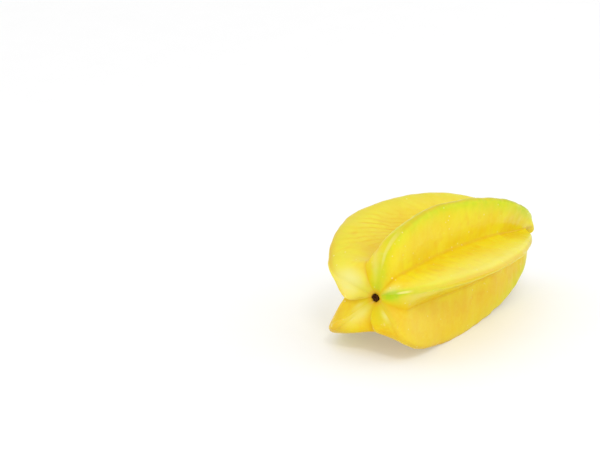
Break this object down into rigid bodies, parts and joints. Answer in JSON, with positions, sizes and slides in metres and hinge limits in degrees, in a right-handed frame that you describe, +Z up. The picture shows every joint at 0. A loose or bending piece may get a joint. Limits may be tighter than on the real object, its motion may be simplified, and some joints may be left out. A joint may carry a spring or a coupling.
{
  "type": "star fruit",
  "caption": "Whole ripe star fruit (carambola) lying on its side: a ribbed, waxy yellow fruit, star-shaped in section, with the dried stalk end in its hollow.",
  "frame": {"origin": "on the surface that the fruit lies on, under the middle of the bounding box", "axes": "+Z up, the fruit's long axis along X, stalk end towards -X and blossom end towards +X"},
  "size_m": [0.1144, 0.065, 0.0553],
  "materials": {
    "skin": "satin",
    "dried_stalk": "matte"
  },
  "bodies": {
    "root": {"fruit": "skin", "stalk_stub": "dried_stalk"}
  },
  "joints": []
}
